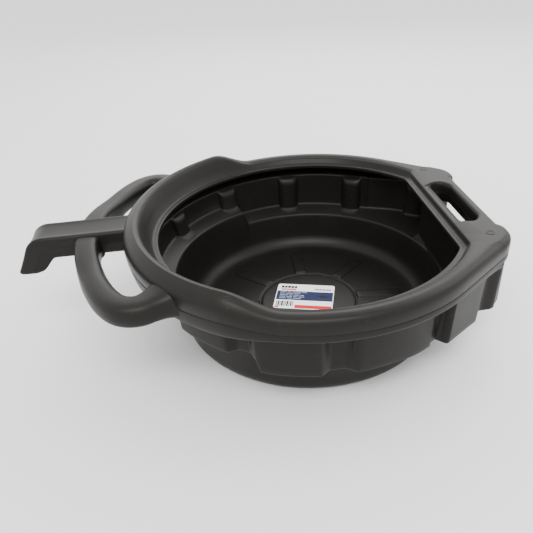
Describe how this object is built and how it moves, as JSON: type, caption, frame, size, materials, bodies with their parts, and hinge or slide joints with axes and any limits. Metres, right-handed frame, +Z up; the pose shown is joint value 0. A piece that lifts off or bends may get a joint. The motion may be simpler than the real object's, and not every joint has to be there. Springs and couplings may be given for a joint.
{
  "type": "oil drain pan",
  "caption": "Round moulded drain pan with a folded rim, raised splash guard, slotted grip, loop handles and a drum hook.",
  "frame": {"origin": "under the middle of the whole length, in the plane that the pan stands on; the axis of the round basin is at X = 0.0737 m", "axes": "+Z up, +X to the slotted grip, -X to the hook, +Y to the left loop handle"},
  "size_m": [0.6138, 0.4634, 0.1714],
  "materials": {
    "moulding": "black polyethylene with a low sheen and fine scuffs",
    "label": "printed film label"
  },
  "bodies": {
    "root": {"floor_disc": "moulding", "basin_floor": "moulding", "basin_foot": "moulding", "basin_wall": "moulding", "step_ledge": "moulding", "upper_wall": "moulding", "rim_left": "moulding", "rim_right": "moulding", "splash_guard": "moulding", "grip_deck": "moulding", "grip_bar": "moulding", "hook_arm": "moulding", "hook_tip": "moulding", "loop_left": "moulding", "loop_right": "moulding", "label": "label"}
  },
  "joints": []
}
